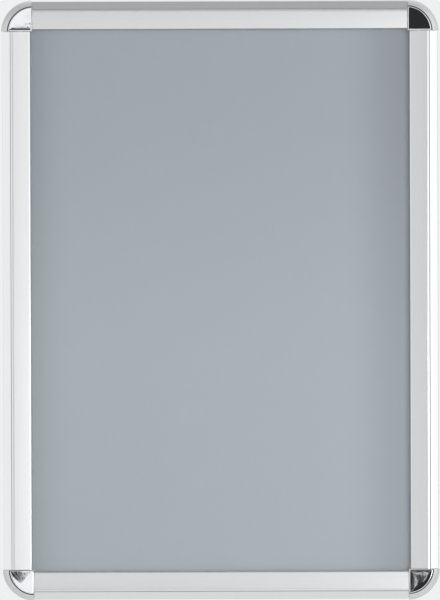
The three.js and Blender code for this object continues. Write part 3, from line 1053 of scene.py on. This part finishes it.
@dataclass(frozen=True)
class CornerScrew:
    """A countersunk screw from the rear, with a cross recess."""

    u: float = 5.5
    inset: float = 13.0
    head_radius: float = 2.6
    head_depth: float = 1.3
    sunk: float = 0.1
    shank_radius: float = 1.2
    tip: float = 5.4
    point: float = 1.0
    gap: float = 0.25
    recess_wall: float = 0.55
    recess_reach: float = 1.45
    recess_depth: float = 0.9
    thread_pitch: float = 0.6
    thread_depth: float = 0.18
    steps: int = 32

    def profile(self, gap: float) -> list[tuple[float, float]]:
        """The turned profile.

        Args:
            gap: how much wider it is all round, for the hole that the screw sits in.

        Returns:
            Radius and v of each point, from axis to axis.
        """
        mouth = -PAST if gap else self.sunk
        points = [(0.0, mouth), (self.head_radius + gap, mouth)]
        if gap:
            points.append((self.head_radius + gap, self.sunk))
        foot = self.sunk + self.head_depth
        points.append((self.shank_radius + gap, foot))
        if not gap:
            points += self.thread(foot)
        points.append((self.shank_radius + gap, self.tip - self.point + gap))
        points.append((0.0, self.tip + gap))
        return points

    def thread(self, foot: float) -> list[tuple[float, float]]:
        """The thread's valleys and crests along the shank.

        Args:
            foot: where the shank begins.

        Returns:
            Radius and v of each point.
        """
        count = int((self.tip - self.point - foot) / self.thread_pitch)
        points = []
        for i in range(count):
            v = foot + (i + 0.5) * self.thread_pitch
            points.append((self.shank_radius - self.thread_depth, v))
            points.append((self.shank_radius, v + self.thread_pitch / 2))
        return points

    def hole(self, middle: Sequence[float] = (0, 0)) -> Mesh:
        """The hole that the screw sits in, in a corner's frame."""
        return turned("screw_hole", self.profile(self.gap), self.steps, middle)

    def mesh(self) -> Mesh:
        """Makes one screw with its recess, at u = 0 and w = 0 of its rail.

        Returns:
            The mesh.
        """
        body = turned("corner_screw", self.profile(0.0), self.steps)
        high = self.sunk + self.recess_depth
        long, short = self.recess_reach, self.recess_wall / 2
        steps = []
        for a, b in ((long, short), (short, long)):
            steps.append((Cut.TAKE, block("recess", (-a, -b, -PAST), (a, b, high))))
        return stood(worked("corner_screw", body, steps), 0.0, 0.0)


@dataclass
class RailSide:
    """One side of the frame: base rail, snap flap, leaf springs and corner screws."""

    side: Side
    hinge: HingeSizes
    screw: CornerScrew
    sweep: NodeTree
    rows: NodeTree
    wall_hole_radius: float = 2.25
    wall_hole_u: float = 16.4
    wall_hole_inset: float = 48.0
    wall_hole_reach: float = 3.0
    level_springs: tuple[int, float] = (2, 110.0)
    upright_springs: tuple[int, float] = (3, 190.0)
    level: bool = field(init=False)
    length: float = field(init=False)
    placed: Matrix = field(init=False)

    def __post_init__(self) -> None:
        """Takes the rail's length and place from its node."""
        low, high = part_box(f"{self.side.word}_base_rail")
        middle = frame_middle()
        self.level = self.side in (Side.BOTTOM, Side.TOP)
        self.length = ((high.x - low.x) if self.level else (high.z - low.z)) / MM
        reaches = {
            Side.BOTTOM: middle.z - low.z,
            Side.TOP: high.z - middle.z,
            Side.LEFT: middle.x - low.x,
            Side.RIGHT: high.x - middle.x,
        }
        outer = reaches[self.side]
        basis = Matrix(((0, 0, 1, 0), (0, -1, 0, 0), (1, 0, 0, -outer), (0, 0, 0, 1)))
        turn = Matrix.Rotation(math.radians(self.side.value), 4, "Y")
        self.placed = Matrix.Translation(middle) @ turn @ basis

    def name(self, piece: str) -> str:
        """A node's or piece's name on this side."""
        return f"{self.side.word}_{piece}"

    def drawn(self, name: str, outline: Outline) -> Mesh:
        """Draws a section out to the rail's length.

        Args:
            name: the result's name.
            outline: the section.

        Returns:
            The drawn mesh, in the rail's own frame.
        """
        loop = bpy.data.meshes.new(name)
        points = [(u * MM, v * MM, 0.0) for u, v in outline.points]
        count = len(points)
        loop.from_pydata(points, [(i, (i + 1) % count) for i in range(count)], [])
        metal, sawn = ALUMINIUM.material(), SAWN.material()
        values = {"Length": self.length * MM, "Finish": metal, "Sawn Finish": sawn}
        return tidied(run_tree(self.sweep, name, loop, values))

    def row(
        self, name: str, fitting: Mesh, count: int, reach: float, turn: float, finish: Finish
    ) -> Mesh:
        """Sets copies of a fitting along the rail.

        Args:
            name: the result's name.
            fitting: the fitting, at w = 0.
            count: how many there are.
            reach: how far the first and the last are from the rail's middle.
            turn: the most that one is turned about v, in radians.
            finish: their finish.

        Returns:
            The copies in one mesh, in the rail's own frame.
        """
        values = {
            "Count": count,
            "First": -reach * MM,
            "Step": 2 * reach * MM / (count - 1),
            "Turn": turn,
            "Seed": self.side.value,
            "Finish": finish.material(),
        }
        return run_tree(self.rows, name, fitting, values)

    def set_in_place(self, mesh: Mesh) -> Mesh:
        """Marks each vertex with its place in the rail, and moves the mesh to the rail's place.

        Args:
            mesh: the mesh, in the rail's own frame.

        Returns:
            The same mesh.
        """
        attribute = mesh.attributes.new(RAIL_PLACE, "FLOAT_VECTOR", "POINT")
        for vertex, value in zip(mesh.vertices, attribute.data):
            value.vector = vertex.co / MM
        mesh.transform(self.placed)
        return mesh

    def base_rail(self) -> Object:
        """Makes the base rail, drilled for the wall and for the corner screws.

        Returns:
            The piece.
        """
        name = self.name("base_rail_profile")
        rail = self.drawn(name, BaseSection(self.hinge).outline())
        radius, reach = self.wall_hole_radius, self.wall_hole_reach
        hole = [(0.0, -reach), (radius, -reach), (radius, reach), (0.0, reach)]
        steps = []
        for end in ENDS:
            w = end * (self.length / 2 - self.wall_hole_inset)
            drill = stood(turned("wall_hole", hole, self.screw.steps), self.wall_hole_u, w)
            w = end * (self.length / 2 - self.screw.inset)
            sink = stood(self.screw.hole(), self.screw.u, w)
            steps += [(Cut.TAKE, drill), (Cut.TAKE, sink)]
        mesh = self.set_in_place(worked(name, rail, steps))
        return dressed(name, mesh, "frame", [self.name("base_rail")])

    def flap(self) -> Object:
        """Makes the snap flap.

        Returns:
            The piece.
        """
        name = self.name("snap_flap_profile")
        mesh = self.set_in_place(self.drawn(name, FlapSection(self.hinge).outline()))
        body = self.name("flap")
        return dressed(name, mesh, body, [self.name("snap_flap")])

    def springs(self) -> Object:
        """Makes the rail's leaf springs, as one piece on their body.

        Returns:
            The piece.
        """
        count, reach = self.level_springs if self.level else self.upright_springs
        name = self.name("leaf_springs")
        leaf = LeafSpring(self.hinge).mesh()
        row = self.row(name, leaf, count, reach, 0.0, SPRING_STEEL)
        mesh = self.set_in_place(tidied(row))
        nodes = [self.name(f"spring_{i + 1}") for i in range(count)]
        return dressed(name, mesh, self.name("springs"), nodes)

    def screws(self) -> Mesh:
        """Makes the two screws that hold this rail on its corners.

        Returns:
            Their mesh, in place.
        """
        reach = self.length / 2 - self.screw.inset
        name, fitting = self.name("screws"), self.screw.mesh()
        row = self.row(name, fitting, len(ENDS), reach, math.pi / 2, ZINC_PLATE)
        row.transform(self.placed @ Matrix.Translation((self.screw.u * MM, 0, 0)))
        return row


@dataclass
class CornerCap:
    """A round corner: a satin ring, a groove, a polished pad and two tenons in the rails."""

    screw: CornerScrew
    rail_width: float = 30.0
    centre: float = -3.4
    radius: float = 34.5
    side: float = -1.9
    wall: float = 1.8
    edge_break: float = 0.4
    ring_wall: float = 2.8
    ring_foot: float = 4.1
    ring_lip: float = 28.0
    ring_bow: float = 0.7
    ring_top: float = 10.9
    ring_steps: int = 20
    lip_run: float = 0.4
    lip_drop: float = 0.25
    groove_draft: float = 0.1
    groove_floor: float = 9.4
    # Where the groove's painted shade reaches: past the ring's lip, under the groove's floor and
    # under the ring's top.
    dull_past_lip: float = 0.02
    dull_under_floor: float = 0.1
    dull_under_top: float = 0.35
    pad_radius: float = 27.0
    pad_top: float = 12.45
    pad_round: float = 0.9
    pad_end_round: float = 1.6
    pad_least_round: float = 0.05
    pad_inner_round: float = 2.2
    pad_side_step: float = 0.15
    pad_tilt: float = 0.068
    pad_dome: float = 0.08
    pad_end_steps: int = 8
    pad_arc_steps: int = 48
    pad_inner_steps: int = 10
    cavity_top: float = 7.6
    cavity_shoulder: float = 3.6
    cavity_step: float = 1.5
    sheet_pocket: float = 9.4
    sheet_pocket_top: float = 3.75
    tenon_length: float = 26.0
    tenon_root: float = 8.0
    tenon_section: tuple[tuple[float, float], ...] = (
        (1.7, 1.65), (7.7, 1.65), (8.6, 4.7), (6.0, 6.7), (1.7, 3.6),
    )
    rail_gap: float = 0.4
    clear: float = 5.0
    clear_top: float = 30.0
    turn_steps: int = 160
    rim_steps: int = 8
    dome_rings: int = 10

    def ring(self) -> Mesh:
        """Makes the ring and the groove's floor, as a full turn.

        Returns:
            The mesh.
        """
        low = Vector((self.radius, self.ring_foot))
        high = Vector((self.ring_lip + self.lip_run, self.ring_top))
        along = high - low
        across = Vector((along.y, -along.x)).normalized()
        outline = Outline().to(0.0, 0.0).to(self.radius - self.edge_break, 0.0)
        outline.to(self.radius, self.edge_break)
        for i in range(self.ring_steps + 1):
            t = i / self.ring_steps
            outline.to(*(low + along * t + across * (4 * self.ring_bow * t * (1 - t))))
        outline.to(self.ring_lip, self.ring_top - self.lip_drop)
        outline.to(self.ring_lip - self.groove_draft, self.groove_floor)
        outline.to(0.0, self.groove_floor)
        mesh = self.round("ring", outline.points)
        mesh.materials.append(SATIN_CHROME.material())
        return mesh

    def cavity(self) -> Mesh:
        """Makes the hollow behind the ring and the pad.

        Returns:
            The mesh, to cut with.
        """
        inner = self.radius - self.ring_wall
        points = [
            (0.0, -PAST),
            (inner, -PAST),
            (inner, self.cavity_shoulder),
            (self.ring_lip + self.cavity_step, self.cavity_top),
            (0.0, self.cavity_top),
        ]
        inside = self.beyond("inside", self.side + self.wall)
        return worked("cavity", self.round("cavity", points), [(Cut.KEEP, inside)])

    def round(self, name: str, profile: Sequence[Sequence[float]]) -> Mesh:
        """A turned mesh around the centre of the corner's arcs."""
        return turned(name, profile, self.turn_steps, (self.centre, self.centre))

    def beyond(self, name: str, low: float) -> Mesh:
        """A block over all of the corner that lies beyond one measure in a and in b."""
        far = self.radius + self.clear
        return block(name, (low, low, -self.clear), (far, far, self.clear_top))

    def pad_outline(self, inset: float) -> list[Vector]:
        """The pad's outline, drawn in by an inset all round.

        Args:
            inset: how far it is drawn in.

        Returns:
            Its points around the centre of the arcs.
        """
        side = self.side - self.centre + self.pad_side_step
        low = side + self.pad_end_round
        high = math.sqrt((self.pad_radius - self.pad_end_round) ** 2 - low**2)
        turn = math.degrees(math.atan2(low, high))
        inner = side + self.pad_inner_round
        inner_round = self.pad_inner_round - inset
        end = max(self.pad_end_round - inset, self.pad_least_round)
        return (
            Outline()
            .arc((high, low), end, -90.0, turn, self.pad_end_steps)
            .arc((0.0, 0.0), self.pad_radius - inset, turn, 90.0 - turn, self.pad_arc_steps)
            .arc((low, high), end, 90.0 - turn, 180.0, self.pad_end_steps)
            .arc((inner, inner), inner_round, 180.0, 270.0, self.pad_inner_steps)
            .points
        )

    def pad_ring(self, share: float) -> list[Vector]:
        """The edge of the pad's face, drawn in towards its middle.

        Args:
            share: what is left of its reach, from 0 to 1.

        Returns:
            Its points around the centre of the arcs.
        """
        edge = self.pad_outline(self.pad_round)
        middle = sum(edge, Vector((0.0, 0.0))) / len(edge)
        return [middle + (point - middle) * share for point in edge]

    def leaned(self, points: Iterable[Vector], v: float) -> list[Vector]:
        """Sets an outline at a height, leaning towards the window as the pad does.

        Args:
            points: the outline, around the centre of the arcs.
            v: the height at the pad's radius.

        Returns:
            Its points in the corner's frame.
        """
        made = []
        for a, b in points:
            rise = self.pad_tilt * (a + b - self.pad_radius)
            made.append(Vector((a + self.centre, b + self.centre, v + rise)))
        return made

    def pad(self) -> Mesh:
        """Makes the polished pad: a rounded rim and a slightly domed face.

        Returns:
            The mesh.
        """
        foot = self.pad_top - self.pad_round
        rows = [self.leaned(self.pad_outline(0.0), self.groove_floor - PAST)]
        for k in range(self.rim_steps + 1):
            angle = math.radians(90.0 * k / self.rim_steps)
            inset = self.pad_round * (1.0 - math.cos(angle))
            height = foot + self.pad_round * math.sin(angle)
            rows.append(self.leaned(self.pad_outline(inset), height))
        for k in range(1, self.dome_rings):
            share = 1.0 - k / self.dome_rings
            height = self.pad_top + self.pad_dome * (1.0 - share**2)
            rows.append(self.leaned(self.pad_ring(share), height))
        mesh = lofted("pad", rows)
        mesh.materials.append(POLISHED_CHROME.material())
        return mesh

    def pad_pocket(self) -> Mesh:
        """Makes the hollow behind the pad, seen from the rear.

        Returns:
            The mesh, to cut with.
        """
        inset = (2 * self.wall - self.pad_round) / (self.pad_radius / 2 - self.wall)
        plan = self.pad_ring(1.0 - inset)
        heights = (self.cavity_top - PAST, self.pad_top - self.wall)
        return lofted("pad_pocket", [self.leaned(plan, height) for height in heights])

    def in_corner(self, w: float, u: float, along_a: bool) -> tuple[float, float]:
        """Where a place in the rail along a, or in the rail along b, is in a and b."""
        across = self.rail_width - u
        return (w, across) if along_a else (across, w)

    def tenon(self, along_a: bool) -> Mesh:
        """Makes a tenon that fills a rail's outer channel.

        Args:
            along_a: whether it runs along a or along b.

        Returns:
            The mesh.
        """
        rows = []
        for w in (-self.tenon_length, self.tenon_root):
            rows.append([(*self.in_corner(w, u, along_a), v) for u, v in self.tenon_section])
        return lofted("tenon", rows)

    def mesh(self) -> Mesh:
        """Makes the whole corner, in its own frame.

        Returns:
            The mesh.
        """
        near, pocket = -self.clear, self.sheet_pocket
        sheets = block("sheets", (near, near, near), (pocket, pocket, self.sheet_pocket_top))
        steps = [
            (Cut.KEEP, self.beyond("plan", self.side)),
            (Cut.JOIN, self.pad()),
            (Cut.TAKE, self.cavity()),
            (Cut.TAKE, self.pad_pocket()),
            (Cut.TAKE, sheets),
        ]
        screw_w = self.side - self.rail_gap - self.screw.inset
        for along_a in (True, False):
            hole = self.screw.hole(self.in_corner(screw_w, self.screw.u, along_a))
            steps += [(Cut.JOIN, self.tenon(along_a)), (Cut.TAKE, hole)]
        # The groove between ring and pad gets painted shade.
        return self.dulled(worked("corner_cap", self.ring(), steps))

    def dulled(self, mesh: Mesh) -> Mesh:
        """Paints shade into the groove between ring and pad, as a near-black chrome on its faces.

        Args:
            mesh: the corner, in its own frame.

        Returns:
            The same mesh.
        """
        mesh.materials.append(GROOVE_SHADE_CHROME.material())
        inner, outer = self.pad_radius - self.pad_end_round, self.ring_lip + self.dull_past_lip
        low, high = self.groove_floor - self.dull_under_floor, self.ring_top - self.dull_under_top
        for face in mesh.polygons:
            a, b, v = face.center / MM
            reach = math.hypot(a - self.centre, b - self.centre)
            if inner < reach < outer and low < v < high:
                face.material_index = len(mesh.materials) - 1
        return mesh

    def place(self, corner: Corner, window: tuple[float, float]) -> Matrix:
        """Where a corner goes.

        Args:
            corner: which corner.
            window: the window's width and height.

        Returns:
            The matrix from the corner's own frame.
        """
        across = -1 if corner in (Corner.BOTTOM_LEFT, Corner.TOP_LEFT) else 1
        up = -1 if corner in (Corner.BOTTOM_LEFT, Corner.BOTTOM_RIGHT) else 1
        point = Vector((across * window[0] / 2, 0.0, up * window[1] / 2)) * MM
        basis = Matrix(((-1, 0, 0, 0), (0, 0, -1, 0), (0, -1, 0, 0), (0, 0, 0, 1)))
        turn = Matrix.Rotation(math.radians(corner.value), 4, "Y")
        return Matrix.Translation(frame_middle() + point) @ turn @ basis

    def build(self, window: tuple[float, float]) -> None:
        """Makes the four corners.

        Args:
            window: the window's width and height.
        """
        made = self.mesh()
        for corner in Corner:
            mesh = made.copy()
            mesh.transform(self.place(corner, window))
            name = f"{corner.word}_corner_cap"
            dressed(name, mesh, "frame", [f"{corner.word}_corner"])
        bpy.data.meshes.remove(made)


@dataclass
class Sheets:
    """The grey back panel and the clear cover sheet, whose nodes stay and get their finishes."""

    finishes: dict[str, Finish] = field(
        default_factory=lambda: {"back_panel": SHADE_PAINTED_GREY_SHEET, "cover_sheet": CLEAR_SHEET}
    )

    def build(self) -> None:
        """Gives each sheet its finish."""
        for node, finish in self.finishes.items():
            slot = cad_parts[node].material_slots[0]
            slot.link = "OBJECT"
            slot.material = finish.material()
            LOG.info("%s is finished as %s", node, finish.name)


@dataclass(frozen=True)
class Glow:
    """A soft patch of the studio's light, by the direction that it comes from."""

    azimuth: float
    elevation: float
    inner: float
    outer: float
    strength: float

    @property
    def direction(self) -> Vector:
        """The unit vector towards the patch; azimuth 0 is the front, and 90 the viewer's right."""
        a, e = math.radians(self.azimuth), math.radians(self.elevation)
        return Vector((math.sin(a) * math.cos(e), -math.cos(a) * math.cos(e), math.sin(e)))

    def added(self, graph: Graph, towards: NodeSocket, total: object) -> Node:
        """Adds the patch to the world's light.

        Args:
            graph: the world's graph.
            towards: the direction that is looked in.
            total: the light so far.

        Returns:
            The node that gives the light with the patch.
        """
        inputs = {0: towards, 1: self.direction}
        facing = graph.node("ShaderNodeVectorMath", inputs, operation="DOT_PRODUCT")
        edge, core = (math.cos(math.radians(x)) for x in (self.outer, self.inner))
        share = graph.ramp(facing.outputs["Value"], edge, core)
        return graph.math("MULTIPLY_ADD", share, self.strength, total)


@dataclass(frozen=True)
class Flag:
    """A black flag's lower and upper edges, each from left to right, from the frame's middle."""

    low: float
    low_span: tuple[float, float]
    high: float
    high_span: tuple[float, float]


@dataclass(frozen=True)
class SoftLamp:
    """A square soft lamp that faces the frame's middle, and is placed from there.

    A mirrored lamp shows only in reflections, and any other only in the soft light on surfaces.
    """

    name: str
    place: Point
    size: float
    power: float
    mirrored: bool

    def build(self) -> None:
        """Makes the lamp."""
        data = bpy.data.lights.new(self.name, "AREA")
        data.size = self.size * MM
        data.energy = self.power
        lamp = loose(self.name, data)
        lamp.matrix_world = looking(frame_middle() + Vector(self.place) * MM, frame_middle())
        lamp.visible_glossy = self.mirrored
        lamp.visible_diffuse = not self.mirrored


@dataclass
class Studio:
    """Plain soft studio light, black flags for the polished metal to show, and a pale floor."""

    tint: Colour = (0.985, 0.992, 1.0)
    level: float = 0.46
    glows: tuple[Glow, ...] = (
        Glow(2.5, 1.0, 8.0, 45.0, 0.66),
        Glow(25.0, 0.0, 6.0, 24.0, -0.04),
        Glow(53.0, 2.0, 8.0, 30.0, 0.78),
        Glow(80.0, 20.0, 14.0, 40.0, 0.6),
        Glow(-76.0, 2.0, 14.0, 46.0, 0.7),
        Glow(180.0, -5.0, 30.0, 75.0, 0.42),
        Glow(180.0, 60.0, 10.0, 34.0, 0.8),
    )
    lamps: tuple[SoftLamp, ...] = (
        SoftLamp("side_lamp", (2200.0, -2600.0, 900.0), 900.0, 25.0, False),
        SoftLamp("near_lamp", (570.0, -700.0, -220.0), 380.0, 2.1, True),
    )
    flag_away: float = 30000.0
    flags: tuple[Flag, ...] = (
        Flag(-6000.0, (-6500.0, 0.0), 1200.0, (-6500.0, 0.0)),
        Flag(1200.0, (-6500.0, -3550.0), 6000.0, (-6500.0, -3550.0)),
        Flag(1200.0, (-3440.0, 0.0), 1950.0, (-3440.0, 0.0)),
        Flag(1950.0, (-3440.0, -2555.0), 2950.0, (-3440.0, -3175.0)),
        Flag(1950.0, (-2445.0, 0.0), 2950.0, (-3065.0, 0.0)),
        Flag(2950.0, (-3440.0, 0.0), 6000.0, (-3440.0, 0.0)),
        Flag(1950.0, (0.0, 2600.0), 2350.0, (0.0, 3130.0)),
        Flag(2350.0, (0.0, 3130.0), 6000.0, (0.0, 3060.0)),
        Flag(-6000.0, (0.0, 6500.0), -3700.0, (0.0, 6500.0)),
        Flag(-3700.0, (0.0, 2450.0), -3200.0, (0.0, 2450.0)),
        Flag(-3700.0, (3400.0, 6500.0), -3250.0, (3400.0, 6500.0)),
    )
    floor_radius: float = 3000.0
    floor_drop: float = 1400.0
    floor_steps: int = 96

    def build(self) -> None:
        """Makes the world, the floor, the flags and the lamps."""
        self.light_world()
        self.floor()
        self.hang_flags()
        for lamp in self.lamps:
            lamp.build()

    def light_world(self) -> None:
        """Makes the world's light: an even level with the glows on it."""
        world = bpy.data.worlds.new("studio")
        bpy.context.scene.world = world
        world.use_nodes = True
        graph = Graph(world.node_tree)
        towards = graph.node("ShaderNodeTexCoord").outputs["Generated"]
        total: object = self.level
        for glow in self.glows:
            total = glow.added(graph, towards, total)
        light = world.node_tree.nodes["Background"]
        light.inputs["Color"].default_value = (*self.tint, 1.0)
        graph.feed(light.inputs["Strength"], graph.math("MAXIMUM", total, 0.0))

    def hang_flags(self) -> None:
        """Hangs black flags far out in front, for the polished metal to show."""
        middle = frame_middle() / MM
        for i, flag in enumerate(self.flags):
            plan = [(x, flag.low) for x in flag.low_span] + [(x, flag.high) for x in flag.high_span]
            points = [(middle.x + x, -self.flag_away, middle.z + z) for x, z in plan]
            mesh = drafted(f"black_flag_{i}", points, [(0, 1, 3, 2)])
            mesh.materials.append(BLACK_CARD.material())
            card = loose(f"black_flag_{i}", mesh)
            card.visible_camera = False

    def floor(self) -> None:
        """Makes the floor, well under the frame, which hangs at its mount's height."""
        low, high = CAD_BOX
        level = low.z / MM - self.floor_drop
        middle = (0.0, (low.y + high.y) / 2 / MM)
        points = []
        for i in range(self.floor_steps):
            edge = around(middle, self.floor_radius, 360.0 * i / self.floor_steps)
            points.append((*edge, level))
        mesh = drafted("floor", points, [range(len(points))])
        mesh.materials.append(PALE_FLOOR.material())
        loose("floor", mesh)


@dataclass(frozen=True)
class PhotoCamera:
    """The photograph's camera: nearly square on, from far off."""

    distance: float = 8000.0
    elevation: float = 0.8
    roll: float = 0.18
    pixels_per_mm: float = 0.9374
    image_height: int = 600
    aim_x: float = -0.6
    aim_z: float = 0.2
    sensor: float = 36.0

    def build(self) -> None:
        """Makes the camera and sets it as the scene's own."""
        data = bpy.data.cameras.new("photo_camera")
        data.sensor_width = self.sensor
        data.lens = self.sensor * self.distance * self.pixels_per_mm / self.image_height
        camera = loose("photo_camera", data)
        aim = frame_middle() + Vector((self.aim_x, 0.0, self.aim_z)) * MM
        rise = math.radians(self.elevation)
        back = Vector((0.0, -math.cos(rise), math.sin(rise))) * self.distance * MM
        roll = Matrix.Rotation(math.radians(-self.roll), 4, "Z")
        camera.matrix_world = looking(aim + back, aim) @ roll
        bpy.context.scene.camera = camera


def frame_middle() -> Vector:
    """Finds the frame's middle in the wall plane, from its base rails.

    Returns:
        The middle, in metres.
    """
    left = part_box("left_base_rail")[0]
    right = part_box("right_base_rail")[1]
    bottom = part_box("bottom_base_rail")[0]
    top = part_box("top_base_rail")[1]
    return Vector(((left.x + right.x) / 2, 0.0, (bottom.z + top.z) / 2))


def window_size() -> tuple[float, float]:
    """Measures the window between the flaps.

    Returns:
        Its width and height, in millimetres.
    """
    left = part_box("left_snap_flap")[1]
    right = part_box("right_snap_flap")[0]
    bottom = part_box("bottom_snap_flap")[1]
    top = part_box("top_snap_flap")[0]
    return (right.x - left.x) / MM, (top.z - bottom.z) / MM


def screw_set(rows: Sequence[Mesh]) -> Object:
    """Joins the rails' screws into one piece on the frame.

    Args:
        rows: the screws of each side, in place.

    Returns:
        The piece.
    """
    work = bmesh.new()
    for row in rows:
        work.from_mesh(row)
    mesh = rows[0].copy()
    work.to_mesh(mesh)
    work.free()
    nodes = [f"{side.word}_corner_screw_{i}" for side in Side for i in (1, 2)]
    return dressed("corner_screw_set", mesh, "frame", nodes)


def main() -> None:
    """Builds the studio and dresses the frame."""
    logging.basicConfig(level=logging.INFO, format="%(name)s: %(message)s")
    bpy.context.scene.view_settings.view_transform = "Standard"
    PhotoCamera().build()
    Studio().build()
    hinge = HingeSizes()
    screw = CornerScrew()
    sweep = sweep_tree()
    rows = row_tree()
    screws = []
    for side in Side:
        rail = RailSide(side, hinge, screw, sweep, rows)
        rail.base_rail()
        rail.flap()
        rail.springs()
        screws.append(rail.screws())
    screw_set(screws)
    CornerCap(screw).build(window_size())
    Sheets().build()


if __name__ == "__main__":
    main()
